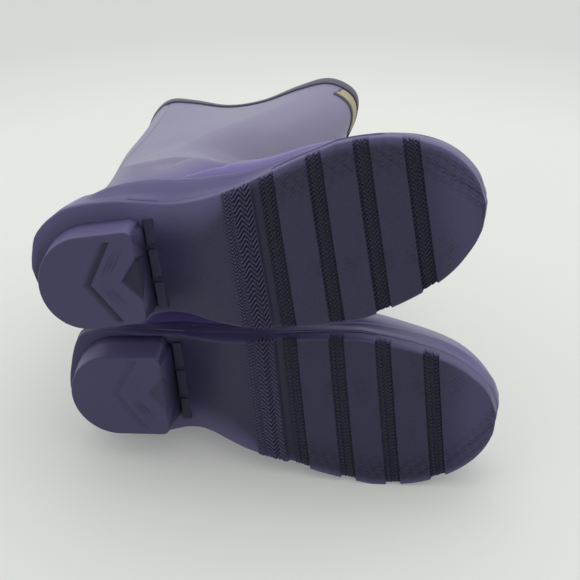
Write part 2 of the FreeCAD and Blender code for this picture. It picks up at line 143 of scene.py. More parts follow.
# Flat cuts through the upper, toe to ankle, as (u, z) at the sole or the back and
# (u, z) at the instep or the front. The rim's cut is added for each boot.
CUTS = [(288.4, 24.5, 288.4, 37.0), (286.6, 23.4, 286.8, 44.0), (283.5, 22.7, 283.5, 50.0),
        (279.0, 22.0, 279.3, 54.4), (267.4, 20.0, 268.0, 61.5), (250.0, 17.6, 251.1, 68.0),
        (227.9, 15.0, 230.0, 74.4), (205.0, 13.2, 209.0, 80.9), (179.8, 12.2, 186.2, 90.0),
        (150.8, 12.4, 162.5, 99.9), (120.4, 20.0, 145.0, 110.0), (89.9, 31.0, 131.0, 121.0),
        (59.5, 32.0, 122.5, 133.0), (27.5, 32.4, 118.7, 144.0), (6.5, 43.0, 117.8, 153.0),
        (-0.5, 66.0, 118.6, 163.0), (3.0, 96.0, 119.6, 175.0), (7.0, 132.0, 120.9, 191.0)]
ANKLE_CUT = len(CUTS) - 1
RIM_CUT = {"left": (28.0, LEG_HEIGHT, 192.0, LEG_HEIGHT),
           "right": (15.0, LEG_HEIGHT, 169.0, LEG_HEIGHT)}

# The rim as it has settled, as (u, v) from the middle of the back round the inner side.
SETTLED_RIM = {
    "left": [(25, 12), (26, 28), (33, 43), (47, 53), (66, 50), (93, 42.5), (121, 43),
             (151, 50.5), (174, 53.5), (190, 45), (194, 33), (187, 16), (170, -6),
             (140, -19), (102, -23), (64, -17), (36, -4)],
    "right": [(15, 9), (21, 32), (46, 49), (92, 54), (137, 50), (163, 33), (169, 10),
              (160, -13), (132, -27), (92, -32), (52, -27), (24, -12)]}

# How far the inner side of the slack left boot reaches across, as (u, v) at some heights.
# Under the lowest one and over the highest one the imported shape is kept.
LEFT_REACH = [
    (32, [(2, 33), (20, 40), (40, 47), (104, 52), (150, 60)]),
    (46, [(2, 27), (10, 29), (20, 34), (30, 38.7), (50, 41.8), (70, 42.4), (87, 43.7),
          (104, 45.3), (125, 48.8), (150, 56)]),
    (60, [(2, 23.6), (10, 28), (20, 32.9), (30, 36.5), (40, 37.3), (60, 37.5), (87, 39),
          (104, 40.7), (125, 44.9), (150, 54)]),
    (82, [(2, 22.3), (10, 26.3), (20, 30), (30, 32.3), (50, 31.5), (70, 32), (87, 33.5),
          (104, 35.8), (125, 41), (150, 52)]),
    (101, [(2, 21), (10, 24.7), (20, 27.6), (30, 28.9), (40, 33), (50, 37), (60, 40), (87, 42),
           (104, 46), (125, 50), (150, 56)]),
    (120, [(2, 19), (10, 22.5), (20, 23.8), (30, 25.1), (40, 37), (50, 48), (60, 60)]),
    (160, [(2, 13.8), (10, 14.9), (20, 16.2), (30, 30.5), (40, 43), (50, 54), (60, 60)]),
    (200, [(2, 6), (10, 8), (20, 23), (30, 35.4), (40, 46), (50, 55), (60, 60)]),
    (240, [(2, 40), (60, 60)])]
REACH_BEND = 1.6            # how softly the wall turns into that reach

# Folds over the ankle, as (place along the boot, lean, depth).
FOLDS = [(97, 0.6, 1.8), (126, 0.45, 2.4), (143, 0.5, 1.4)]

SLACK_STEPS = 300
SKIN_NODES = ["counter", "vamp", "toe_cap", "leg"]
RING_POINTS = 140
RING_SPACING = 2.3
EVENING_ROUNDS = 5          # how often a wall's directions are evened out
TOE_ROUNDS = 10             # how often the toe is smoothed

# --------------------------------------------------------------- floor, light, view, m
PAPER_PALE = 0.56           # the floor is palest this far round the pair
PAPER_FADE = 0.3            # and darkens over this distance
PAPER_REACH = 8.0
VIEW_TURN = math.radians(11.9)
VIEW_DROP = math.radians(27.4)
CAMERA_PLACE = (0.1888, -0.9322, 0.5680)
LENS = 91.8                 # mm, on a sensor 36 mm wide
SKY = (0.96, 0.98, 1.0, 1.0)
SKY_LEVEL = 0.95


# ------------------------------------------------------------------------------- curves
def through(points, x):
    """Smooth curve through (x, y) points, flat past both ends."""
    if x <= points[0][0]:
        return points[0][1]
    if x >= points[-1][0]:
        return points[-1][1]
    last = len(points) - 1
    i = max(k for k in range(last) if points[k][0] <= x)

    def slope(k):
        a, b = points[max(k - 1, 0)], points[min(k + 1, last)]
        return (b[1] - a[1]) / (b[0] - a[0])

    (x0, y0), (x1, y1) = points[i], points[i + 1]
    step = x1 - x0
    t = (x - x0) / step
    rise = y0 * (1 + 2 * t) * (1 - t) ** 2 + y1 * t * t * (3 - 2 * t)
    return rise + step * t * (1 - t) * (slope(i) * (1 - t) - slope(i + 1) * t)


def ease(t):
    t = min(max(t, 0.0), 1.0)
    return t * t * (3 - 2 * t)


def mix(a, b, t):
    return a + (b - a) * t


def bump(x, centre, width):
    return math.exp(-((x - centre) / width) ** 2)


def sole_width(u):
    share = u / SOLE_LENGTH
    return through([(0.20, HEEL_WIDTH), (0.34, WAIST_WIDTH), (0.71, FOREFOOT_WIDTH)], share)


def inner_edge(u):
    return through(INNER_EDGE, u / SOLE_LENGTH) * sole_width(u)


def outer_edge(u):
    return through(OUTER_EDGE, u / SOLE_LENGTH) * sole_width(u)


def flange_inner(u):
    """Inner edge of the sole with its rounder heel."""
    heel = through([(-1.2, 5.0), (-0.6, 9.5), (0.3, 13.0), (3.1, 21.5), (9.7, 29.1),
                    (16.3, 33.6), (25.4, 38.1), (35.0, 39.7), (45.0, 40.2), (58.0, 39.4)], u)
    return mix(heel, inner_edge(u) - 3.0 * bump(u, 80.0, 45.0), ease((u - 45.0) / 25.0))


def flange_outer(u):
    """Outer edge of the sole with its rounder heel."""
    heel = through([(-1.2, 1.0), (-0.8, -3.0), (0.0, -7.5), (1.0, -11.5), (4.0, -22.0),
                    (8.0, -31.5), (12.0, -36.8), (20.0, -39.8), (34.0, -40.3), (60.0, -38.6)], u)
    return mix(heel, outer_edge(u), ease((u - 45.0) / 25.0))


def spring(u):
    return TOE_SPRING * max(0.0, (u - SPRING_START) / (SOLE_LENGTH - SPRING_START)) ** 2


def sole_top(u):
    drop = ease((u - SEAT_START) / (SEAT_END - SEAT_START))
    return mix(HEEL_SEAT, SOLE_THICKNESS, drop) + spring(u)


def sole_under(u):
    return mix(HEEL_HEIGHT, TREAD_STEP, ease((u - BREAST) / (BAND_START - BREAST)))


def around(points, share):
    """Smooth closed curve through (u, v) points, at a share of the way round."""
    count = len(points)
    place = share % 1.0 * count
    k = int(place)
    t = place - k
    a, b, c, d = (Vector(points[(k + step) % count]) for step in (-1, 0, 1, 2))
    return 0.5 * (2 * b + (c - a) * t + (2 * a - 5 * b + 4 * c - d) * t * t
                  + (3 * b - a - 3 * c + d) * t ** 3)


def evenly(points, count):
    """Points at even distances along the smooth closed curve, the first one repeated."""
    fine = [around(points, k / (4 * count)) for k in range(4 * count + 1)]
    lengths = shares(fine)
    spaced = []
    k = 0
    for step in range(count):
        while lengths[k + 1] < step / count:
            k += 1
        between = (step / count - lengths[k]) / (lengths[k + 1] - lengths[k])
        spaced.append(fine[k].lerp(fine[k + 1], between))
    return spaced + [spaced[0]]


def shares(ring):
    """How far round a closed ring each of its points lies, from 0 to 1."""
    steps = [0.0]
    for before, after in zip(ring, ring[1:]):
        steps.append(steps[-1] + (after - before).length)
    return [step / steps[-1] for step in steps]


def between_rows(rows, height, u):
    """Value at a height between rows of (u, value) points."""
    if height <= rows[0][0]:
        return through(rows[0][1], u)
    for (low, below), (high, above) in zip(rows, rows[1:]):
        if height <= high:
            return mix(through(below, u), through(above, u), (height - low) / (high - low))
    return through(rows[-1][1], u)


def slackened(point):
    """Where the inner side of the left boot lies across it, with its folds."""
    u, v, z = point
    over = v - between_rows(LEFT_REACH, z, u)
    v -= (over + math.hypot(over, REACH_BEND)) / 2
    for fold_u, lean, deep in FOLDS:
        v -= deep * bump(u + lean * (z - 46), fold_u, 3.0) * bump(z, 50, 10)
    ridge = u - 66 - 0.78 * (z - 150)
    v += 2.2 * bump(ridge, 0, 11) * bump(z, 190, 48)
    return v - 1.6 * bump(ridge, 17, 10) * bump(z, 180, 40)


# ------------------------------------------------------------------------ mesh builders
def laid(rows):
    """Square grid laid over rows of points, closed where its edges meet."""
    along, across = len(rows) - 1, len(rows[0]) - 1
    mesh = bmesh.new()
    bmesh.ops.create_grid(mesh, x_segments=across, y_segments=along, size=0.5)
    for vert in mesh.verts:
        i = round((vert.co.x + 0.5) * across)
        j = round((vert.co.y + 0.5) * along)
        vert.co = rows[j][i]
    bmesh.ops.remove_doubles(mesh, verts=mesh.verts, dist=1e-4)
    return mesh


def close_ends(mesh):
    """Faces over the open ends of a tube."""
    rim = [edge for edge in mesh.edges if edge.is_boundary]
    if rim:
        bmesh.ops.holes_fill(mesh, edges=rim, sides=0)


def walled(mesh, thickness):
    """A sheet given a wall of this thickness, inwards."""
    bmesh.ops.recalc_face_normals(mesh, faces=mesh.faces)
    mesh.normal_update()
    outward = mesh.verts.layers.float_vector.new("outward")
    ways = {vert: vert.normal.copy() for vert in mesh.verts}
    for _ in range(EVENING_ROUNDS):
        ways = {vert: sum((ways[edge.other_vert(vert)] for edge in vert.link_edges),
                          way).normalized() for vert, way in ways.items()}
    for vert, way in ways.items():
        vert[outward] = way
    copied = bmesh.ops.extrude_face_region(mesh, geom=mesh.faces[:], use_keep_orig=True)
    for item in copied["geom"]:
        if isinstance(item, bmesh.types.BMVert):
            item.co -= item[outward] * thickness
    mesh.verts.layers.float_vector.remove(outward)


class Boot:
    """One boot: where it lies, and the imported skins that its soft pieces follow."""

    def __init__(self, side):
        self.side = side
        self.body = side + "_boot"
        mirror = 1.0 if side == "right" else -1.0
        mounts = {mount["name"]: mount for mount in frame["record"]["mounts"]}
        hinge = next(j for j in frame["joints"] if j["name"] == side + "_insole_peel")
        heel = mounts[side + "_heel_tread"]
        up = -Vector(heel["axis"])
        left = Vector(hinge["axis"])
        ahead = left.cross(up)
        turn = Matrix((ahead, left * mirror, up)).transposed()
        self.place = turn.to_4x4() @ Matrix.Scale(0.001, 4)
        self.place.translation = Vector(heel["pos_m"]) - ahead * 0.025
        self.skin = self.packed_skin(*SKIN_NODES)
        self.slack_rim = evenly(SETTLED_RIM[side], SLACK_STEPS)
        self.cuts = self.spaced_cuts()
        found = [(cut, share, self.cut_ring(cut, share)) for cut, share in self.cuts]
        found = [(cut, share, ring) for cut, share, ring in found if ring]
        self.cuts = [(cut, share) for cut, share, ring in found]
        self.rings = [ring for cut, share, ring in found]

    def packed_skin(self, *pieces):
        mesh = bmesh.new()
        for piece in pieces:
            mesh.from_mesh(frame["nodes"][self.side + "_" + piece].data)
        bmesh.ops.transform(mesh, matrix=self.place.inverted(), verts=mesh.verts)
        tree = BVHTree.FromBMesh(mesh)
        mesh.free()
        return tree

    def spaced_cuts(self):
        """Evenly spaced flat cuts from toe to rim, each with its share up the leg."""
        keys = CUTS + [RIM_CUT[self.side]]
        columns = [[(k, key[c]) for k, key in enumerate(keys)] for c in range(4)]
        result = []
        for k in range(len(keys) - 1):
            a, b = keys[k], keys[k + 1]
            reach = max(math.dist(a[:2], b[:2]), math.dist(a[2:], b[2:]))
            count = max(1, round(reach / RING_SPACING))
            for step in range(count):
                at = k + step / count
                result.append((tuple(through(c, at) for c in columns), max(0.0, at - ANKLE_CUT)))
        result.append((keys[-1], 1.0))
        return result

    def wall(self, start, way):
        """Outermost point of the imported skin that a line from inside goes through."""
        found = None
        point = start
        for _ in range(4):
            hit = self.skin.ray_cast(point, way)[0]
            if hit is None or (found is not None and (hit - found).length > 8.0):
                break
            found = hit
            point = hit + way * 0.02
        return found

    def cut_ring(self, cut, share):
        """Closed ring of points on the skin in one cut, from the sole or the back round
        the inner side, settled towards the slack rim."""
        far, near = Vector((cut[0], 0, cut[1])), Vector((cut[2], 0, cut[3]))
        ahead = (near - far).normalized()
        half_length = (near - far).length / 2
        centre = (far + near) / 2 + Vector((0, 4 + 8 * share, 0))
        side = Vector((0, 1, 0))
        inner, outer = self.wall(centre, side), self.wall(centre, -side)
        if inner is None or outer is None:
            inner, outer = centre + side * 40, centre - side * 40
        centre.y = (inner.y + outer.y) / 2
        half_width = (inner.y - outer.y) / 2
        ring = []
        for k in range(RING_POINTS):
            turn = 2 * math.pi * k / RING_POINTS
            way = -math.cos(turn) * half_length * ahead + math.sin(turn) * half_width * side
            ring.append(self.wall(centre, way.normalized()))
        if sum(point is not None for point in ring) < RING_POINTS // 2:
            return None
        for k, point in enumerate(ring):
            if point is None:
                before = next(ring[k - s] for s in range(1, RING_POINTS) if ring[k - s])
                after = next(ring[(k + s) % RING_POINTS] for s in range(1, RING_POINTS)
                             if ring[(k + s) % RING_POINTS])
                ring[k] = (before + after) / 2
        ring.append(ring[0].copy())
        return self.settle(ring, share)

    def settle(self, ring, share):
        """A ring let down towards the slack rim, and pressed in over the foot."""
        weight = share ** 1.6
        for point, way_round in zip(ring, shares(ring)):
            if weight:
                step = min(int(way_round * SLACK_STEPS), SLACK_STEPS - 1)
                between = way_round * SLACK_STEPS - step
                slack = self.slack_rim[step].lerp(self.slack_rim[step + 1], between)
                point.x = mix(point.x, slack.x, weight)
                point.y = mix(point.y, slack.y, weight)
            if self.side == "left" and point.y > 0:
                point.y = slackened(point)
        return ring

    def add(self, name, mesh, finish, replaced=(), smooth=True, hollow=None, flank=None,
            body=None):
        """Finished piece from a mesh in the boot's own millimetres."""
        own_place = mesh.verts.layers.float_vector.new("boot")
        # Masks of painted shade and painted light, read by the materials.
        depth = mesh.verts.layers.float.new("hollow")
        lit = mesh.verts.layers.float.new("flank")
        for vert in mesh.verts:
            vert[own_place] = vert.co
            vert[depth] = min(1.0, hollow(vert.co)) if hollow else 0.0
            vert[lit] = min(1.0, flank(vert.co)) if flank else 0.0
        bmesh.ops.transform(mesh, matrix=self.place, verts=mesh.verts)
        bmesh.ops.recalc_face_normals(mesh, faces=mesh.faces)
        data = bpy.data.meshes.new(self.side + "_" + name)
        mesh.to_mesh(data)
        mesh.free()
        for face in data.polygons:
            face.use_smooth = smooth
        piece = bpy.data.objects.new(self.side + "_" + name, data)
        bpy.context.scene.collection.objects.link(piece)
        piece.data.materials.append(FINISHES[finish])
        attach(piece, body or self.body)
        if replaced:
            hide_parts(*[self.side + "_" + node for node in replaced])
        return piece


# ---------------------------------------------------------------------------- materials
class Wire:
    """A shader socket or number that can be used in sums."""

    def __init__(self, graph, socket):
        self.graph = graph
        self.socket = socket

    def maths(self, operation, first, second=0.0):
        return self.graph.node("ShaderNodeMath", {"operation": operation}, {0: first, 1: second})

    def __add__(self, other):
        return self.maths("ADD", self, other)

    def __radd__(self, other):
        return self.maths("ADD", other, self)

    def __sub__(self, other):
        return self.maths("SUBTRACT", self, other)

    def __rsub__(self, other):
        return self.maths("SUBTRACT", other, self)

    def __mul__(self, other):
        return self.maths("MULTIPLY", self, other)

    def __rmul__(self, other):
        return self.maths("MULTIPLY", other, self)

    def power(self, other):
        return self.maths("POWER", self, other)

    def clamped(self):
        return self.graph.node("ShaderNodeClamp", {}, {0: self})


class Graph:
    """The nodes of one material."""

    def __init__(self, name):
        self.material = bpy.data.materials.new(name)
        self.material.use_nodes = True
        self.tree = self.material.node_tree
        self.tree.nodes.clear()

    def node(self, kind, settings, inputs, output=0):
        made = self.tree.nodes.new(kind)
        for key, value in settings.items():
            if key == "stops":
                ramp = made.color_ramp.elements
                while len(ramp) < len(value):
                    ramp.new(0.5)
                for element, (position, shade) in zip(ramp, value):
                    element.position = position
                    element.color = (shade, shade, shade, 1.0)
            else:
                setattr(made, key, value)
        for key, value in inputs.items():
            if isinstance(value, Wire):
                self.tree.links.new(value.socket, made.inputs[key])
            else:
                made.inputs[key].default_value = value
        return Wire(self, made.outputs[output])

    def boot_place(self):
        """The point in the boot's own millimetres."""
        return self.node("ShaderNodeAttribute", {"attribute_name": "boot"}, {}, "Vector")

    def noise(self, place, scale, detail=3.0, roughness=0.5):
        return self.node("ShaderNodeTexNoise", {}, {"Vector": place, "Scale": scale,
                         "Detail": detail, "Roughness": roughness})

    def ramp(self, value, *stops):
        return self.node("ShaderNodeValToRGB", {"stops": stops}, {0: value})

    def blend(self, amount, first, second):
        return self.node("ShaderNodeMix", {"data_type": "RGBA"},
                         {0: amount, 6: first, 7: second}, 2)

    def relief(self, height, strength, distance):
        return self.node("ShaderNodeBump", {}, {"Strength": strength, "Distance": distance,
                         "Height": height})

    def finish(self, **inputs):
        shader = self.node("ShaderNodeBsdfPrincipled", {}, inputs)
        output = self.tree.nodes.new("ShaderNodeOutputMaterial")
        self.tree.links.new(shader.socket, output.inputs[0])
        return self.material


def shade(red, green, blue):
    """Colour given as it looks on a screen, 0 to 255."""
    def linear(value):
        value /= 255
        return value / 12.92 if value <= 0.04045 else ((value + 0.055) / 1.055) ** 2.4
    return (linear(red), linear(green), linear(blue), 1.0)


def upper_rubber():
    """Satin purple rubber with a pale bloom that is thicker up the leg, and painted light added to it on the
    upward-facing side of the right boot.
    """
    graph = Graph("upper_rubber")
    place = graph.boot_place()
    clouds = graph.noise(place, 0.018, 4.0)
    haze = graph.noise(place, 0.006, 3.0, 0.6)
    height = graph.node("ShaderNodeSeparateXYZ", {}, {0: place}, 2)
    flank = graph.node("ShaderNodeAttribute", {"attribute_name": "flank"}, {}, "Fac")
    # Bloom up the leg plus painted light on the side that faces up.
    bloom_and_light = (((height - 80.0) * 0.045).clamped() + flank) * (haze * 0.5 + 0.62)
    scuffs = graph.ramp(graph.noise(place, 0.35, 6.0, 0.65), (0.62, 0.0), (0.78, 1.0))
    deep = graph.blend(clouds, shade(92, 78, 136), shade(108, 95, 152))
    with_bloom_and_light = graph.blend(bloom_and_light.clamped() * 0.78, deep, shade(143, 141, 153))
    colour = graph.blend(scuffs * 0.14, with_bloom_and_light, shade(168, 160, 186))
    grain = graph.noise(place, 1.4, 3.0) * 0.5 + graph.noise(place, 0.09, 2.0)
    return graph.finish(**{"Base Color": colour, "Roughness": clouds * 0.12 + bloom_and_light * 0.10 + 0.30,
                           "Specular IOR Level": 0.4,
                           "Normal": graph.relief(grain, 0.10, 0.0005)})


def sole_rubber():
    """Matt sole rubber with grey dust, painted light on its flanks and edges, and painted shade in its hollows."""
    graph = Graph("sole_rubber")
    place = graph.boot_place()
    clouds = graph.noise(place, 0.02, 5.0, 0.6)
    grit = graph.noise(place, 0.9, 5.0, 0.7)
    flank = graph.node("ShaderNodeAttribute", {"attribute_name": "flank"}, {}, "Fac")
    base = graph.blend(clouds, shade(38, 36, 59), shade(48, 46, 72))
    # Painted light: the sole turns a lighter violet on its lit flanks and along its edges.
    lit = graph.blend(flank, base, shade(92, 85, 124))
    dust = graph.ramp(grit, (0.5, 0.0), (0.8, 1.0))
    dusty = graph.blend(dust * 0.22, lit, shade(92, 92, 108))
    hollow = graph.node("ShaderNodeAttribute", {"attribute_name": "hollow"}, {}, "Fac")
    # Painted shade: the tread's hollows, the heel's V and the breast strip are darkened.
    colour = graph.blend(hollow * 0.75, dusty, shade(18, 16, 32))
    scratches = graph.node("ShaderNodeTexNoise", {}, {"Vector": graph.node(
        "ShaderNodeMapping", {}, {"Vector": place, "Rotation": (0.0, 0.0, 0.5),
                                  "Scale": (0.06, 1.6, 1.0)}), "Scale": 0.8, "Detail": 4.0})
    relief = graph.noise(place, 2.2, 4.0, 0.6) * 0.6 + scratches * 0.5
    return graph.finish(**{"Base Color": colour, "Roughness": clouds * 0.15 + grit * 0.12 + 0.34,
                           "Specular IOR Level": 0.28,
                           "Normal": graph.relief(relief, 0.22, 0.0006)})


def trim_rubber():
    """Smooth purple strip, glossier than the rubber under it."""
    graph = Graph("trim_rubber")
    place = graph.boot_place()
    clouds = graph.noise(place, 0.03, 4.0)
    colour = graph.blend(clouds, shade(80, 72, 116), shade(98, 92, 130))
    fine = graph.noise(place, 1.1, 4.0)
    return graph.finish(**{"Base Color": colour, "Roughness": clouds * 0.14 + 0.28,
                           "Normal": graph.relief(fine, 0.08, 0.0004)})


def strip_rubber():
    """Smooth rubber of the back strip, pale with bloom."""
    graph = Graph("strip_rubber")
    place = graph.boot_place()
    clouds = graph.noise(place, 0.02, 4.0)
    colour = graph.blend(clouds, shade(118, 112, 140), shade(138, 134, 154))
    fine = graph.noise(place, 1.1, 4.0)
    return graph.finish(**{"Base Color": colour, "Roughness": clouds * 0.12 + 0.34,
                           "Normal": graph.relief(fine, 0.08, 0.0004)})


def edge_rubber():
    """Dark edging with a faint grain."""
    graph = Graph("edge_rubber")
    place = graph.boot_place()
    clouds = graph.noise(place, 0.05, 4.0)
    colour = graph.blend(clouds, shade(70, 66, 84), shade(88, 84, 102))
    grain = graph.noise(place, 1.8, 3.0)
    return graph.finish(**{"Base Color": colour, "Roughness": clouds * 0.1 + 0.42,
                           "Normal": graph.relief(grain, 0.2, 0.0004)})


def lining_knit():
    """Knitted lining, ribbed down the leg."""
    graph = Graph("lining_knit")
    place = graph.boot_place()
    ribs = graph.node("ShaderNodeTexWave", {"wave_type": "BANDS", "bands_direction": "Z"},
                      {"Vector": place, "Scale": 0.28, "Distortion": 1.2, "Detail": 2.0})
    loops = graph.node("ShaderNodeTexWave", {"wave_type": "BANDS", "bands_direction": "X"},
                       {"Vector": place, "Scale": 0.28, "Distortion": 1.2, "Detail": 2.0})
    stitches = ribs * loops
    clouds = graph.noise(place, 0.02, 4.0)
    tone = graph.blend(clouds, shade(150, 142, 132), shade(176, 168, 156))
    colour = graph.blend(stitches * 0.5, tone, shade(120, 112, 106))
    return graph.finish(**{"Base Color": colour, "Roughness": 0.92, "Sheen Weight": 0.2,
                           "Normal": graph.relief(stitches, 0.5, 0.0008)})


def label_cloth():
    """Bare woven label."""
    graph = Graph("label_cloth")
    place = graph.boot_place()
    warp = graph.node("ShaderNodeTexWave", {"bands_direction": "X"},
                      {"Vector": place, "Scale": 0.5, "Distortion": 0.6})
    weft = graph.node("ShaderNodeTexWave", {"bands_direction": "Z"},
                      {"Vector": place, "Scale": 0.5, "Distortion": 0.6})
    weave = warp * weft
    stains = graph.noise(place, 0.12, 4.0, 0.6)
    tone = graph.blend(stains, shade(164, 154, 122), shade(192, 180, 150))
    colour = graph.blend(weave * 0.5, tone, shade(118, 106, 84))
    return graph.finish(**{"Base Color": colour, "Roughness": 0.9,
                           "Normal": graph.relief(weave, 0.5, 0.0004)})


def felt():
    """Pressed felt of the loose insole."""
    graph = Graph("insole_felt")
    place = graph.node("ShaderNodeTexCoord", {}, {}, "Object")
    fibres = graph.noise(place, 900.0, 5.0, 0.7)
    worn = graph.noise(place, 25.0, 3.0)
    tone = graph.blend(worn, shade(92, 90, 96), shade(118, 116, 120))
    colour = graph.blend(fibres * 0.5, tone, shade(70, 68, 76))
    return graph.finish(**{"Base Color": colour, "Roughness": 0.95, "Sheen Weight": 0.3,
                           "Normal": graph.relief(fibres, 0.6, 0.0006)})


def board(name, dark, pale, roughness):
    """Plain sheet of an inner layer."""
    graph = Graph(name)
    place = graph.node("ShaderNodeTexCoord", {}, {}, "Object")
    flecks = graph.noise(place, 500.0, 4.0, 0.6)
    return graph.finish(**{"Base Color": graph.blend(flecks, dark, pale),
                           "Roughness": flecks * 0.1 + roughness,
                           "Normal": graph.relief(flecks, 0.3, 0.0004)})


def brushed_steel():
    """Steel of the shank."""
    graph = Graph("spring_steel")
    place = graph.node("ShaderNodeMapping", {}, {"Vector": graph.node(
        "ShaderNodeTexCoord", {}, {}, "Object"), "Scale": (1.0, 20.0, 20.0)})
    brushing = graph.noise(place, 60.0, 4.0)
    return graph.finish(**{"Base Color": graph.blend(brushing, shade(150, 150, 154),
                                                     shade(190, 190, 194)),
                           "Metallic": 1.0, "Roughness": brushing * 0.2 + 0.3})


CORE = board("core_foam", shade(58, 56, 62), shade(74, 72, 78), 0.85)
FELT = felt()
FINISHES = {
    "upper": upper_rubber(), "strip": strip_rubber(), "sole": sole_rubber(),
    "trim": trim_rubber(), "edging": edge_rubber(), "lining": lining_knit(),
    "label": label_cloth(), "footbed": FELT,
    "stiffener": board("stiffener_sheet", shade(206, 200, 186), shade(224, 218, 204), 0.6)}
INNER_FINISHES = {
    "footbed": FELT, "heel_core": CORE, "midsole_filler": CORE, "shank": brushed_steel(),
    "insole_board": board("fibre_board", shade(150, 124, 92), shade(176, 150, 116), 0.8)}


# ------------------------------------------------------------------- upper and its trim
def moved_in(rows, depth):
    """Rows of a closed skin moved inwards by depth, along its own normals."""
    mesh = laid(rows)
    bmesh.ops.recalc_face_normals(mesh, faces=mesh.faces)
    mesh.normal_update()
    for vert in mesh.verts:
        vert.co -= vert.normal * depth
    return mesh


def closed_toe(rings, ahead):
    """Rings with a last one at the toe that has shrunk to a point."""
    ring = rings[0]
    tip = sum(ring[:-1], Vector()) / (len(ring) - 1) + Vector((ahead, 0, 0))
    return [[tip.copy() for _ in ring]] + rings


def upward_side_light(boot, point):
    """Painted light, with some bloom, on the outer side of the right boot, which faces up."""
    if boot.side == "left":
        return 0.0
    return 0.75 * ease((-point.y - 8.0) / 26.0) * ease((point.x - 190.0) / 60.0)


def upper(boot):
    """Rubber of the foot and leg, in one."""
    mesh = laid(closed_toe(boot.rings, 0.5))
    toe = [vert for vert in mesh.verts if vert.co.x > TOE_SMOOTHED]
    for _ in range(TOE_ROUNDS):
        bmesh.ops.smooth_vert(mesh, verts=toe, factor=0.5, use_axis_x=True, use_axis_y=True,
                              use_axis_z=True)
    walled(mesh, WALL)
    # The right boot's upward side gets painted light, mixed in with the bloom.
    boot.add("upper", mesh, "upper", SKIN_NODES, flank=lambda p: upward_side_light(boot, p))


def lining(boot):
    """Textile lining, a little way inside the upper."""
    toe = next(k for k, (cut, share) in enumerate(boot.cuts) if cut[0] < TOE_LINING)
    mesh = moved_in(closed_toe(boot.rings[toe:], 0.5), LINING_DEPTH)
    walled(mesh, LINING)
    boot.add("lining", mesh, "lining", ["foot_lining", "leg_lining"])


def heel_stiffener(boot):
    """Stiff sheet round the heel between the upper and its lining."""
    rows = []
    for index in range(1, len(boot.rings)):
        ring, below = boot.rings[index], boot.rings[index - 1]
        u, z = boot.cuts[index][0][:2]
        if u > STIFFENER_REACH or z > STIFFENER_TOP:
            continue
        spread = [k % RING_POINTS for k in range(-STIFFENER_SPREAD, STIFFENER_SPREAD + 1)]
        outs = [out_of(ring, k, (ring[k] - below[k]).normalized()) for k in spread]
        near, far = ([ring[k] - out * depth for k, out in zip(spread, outs)]
                     for depth in STIFFENER_DEPTHS)
        rows.append(near + far[::-1] + [near[0].copy()])
    mesh = laid(rows)
    close_ends(mesh)
    boot.add("heel_stiffener", mesh, "stiffener", ["heel_stiffener"])


def toe_puff(boot):
    """Stiff cap in the toe, between the upper and its lining."""
    ends = [next(k for k, (cut, share) in enumerate(boot.cuts) if cut[0] < u) for u in TOE_PUFF]
    mesh = moved_in(closed_toe(boot.rings[ends[0]:ends[1]], 0.5), STIFFENER_DEPTHS[0])
    walled(mesh, STIFFENER_DEPTHS[1] - STIFFENER_DEPTHS[0])
    boot.add("toe_puff", mesh, "stiffener", ["toe_puff"])


def footbed(boot):
    """Left footbed, narrower at the waist, where the slack wall leans over it."""
    share, middle, length = FOOTBED_WAIST
    mesh = bmesh.new()
    mesh.from_mesh(frame["nodes"][boot.side + "_footbed"].data)
    bmesh.ops.transform(mesh, matrix=boot.place.inverted(), verts=mesh.verts)
    bmesh.ops.remove_doubles(mesh, verts=mesh.verts, dist=0.001)
    for vert in mesh.verts:
        if vert.co.y > 0:
            vert.co.y *= 1 - share * bump(vert.co.x, middle, length)
    boot.add("footbed", mesh, "footbed", ["footbed"], smooth=False,
             body=boot.side + "_insole")


def out_of(ring, k, up):
    """Direction out of the leg's wall at one point of a ring."""
    along = ring[(k + 1) % RING_POINTS] - ring[(k - 1) % RING_POINTS]
    out = along.cross(up).normalized()
    centre = sum(ring[:-1], Vector()) / RING_POINTS
    return out if out.dot(ring[k % RING_POINTS] - centre) > 0 else -out


def binding(boot):
    """Edging: a flat band folded over the rim, with a rounded top."""
    ring, lower = boot.rings[-1], boot.rings[-4]
    profile = [(0.2, -BAND_HEIGHT), (1.1, -BAND_HEIGHT), (BEAD, -BAND_HEIGHT + 0.5),
               (BEAD, 0.3), (1.1, 1.2), (0.2, 1.6), (-2.8, 1.6), (-3.8, 1.2), (-4.3, 0.4),
               (-4.3, -BINDING_HEIGHT + 0.8), (-4.0, -BINDING_HEIGHT + 0.4),
               (-0.2, -BINDING_HEIGHT + 0.4), (0.2, -BAND_HEIGHT)]
    rows = []
    for k, point in enumerate(ring):
        up = (point - lower[k]).normalized()
        out = out_of(ring, k, up)
        rows.append([point + out * reach + up * rise for reach, rise in profile])
    boot.add("binding", laid(rows), "edging", ["top_binding"])


def ring_at(boot, height):
    """Ring of the leg's wall where its front is at one height, and the ring below it."""
    front = RING_POINTS // 2
    k = next(k for k in range(len(boot.rings) - 1, 0, -1)
             if boot.rings[k - 1][front].z <= height)
    below, above = boot.rings[k - 1], boot.rings[k]
    t = (height - below[front].z) / (above[front].z - below[front].z)
    return [a.lerp(b, t) for a, b in zip(below, above)], below


def ring_point(ring, below, start, arc, lift):
    """Point lifted off one ring, arc mm from its start towards the outer side."""
    step = 1 if arc >= 0 else -1
    left = abs(arc)
    k = start
    while (ring[(k + step) % RING_POINTS] - ring[k % RING_POINTS]).length < left:
        left -= (ring[(k + step) % RING_POINTS] - ring[k % RING_POINTS]).length
        k += step
    here, there = ring[k % RING_POINTS], ring[(k + step) % RING_POINTS]
    point = here.lerp(there, left / (there - here).length)
    up = (here - below[k % RING_POINTS]).normalized()
    return point + out_of(ring, k, up) * lift


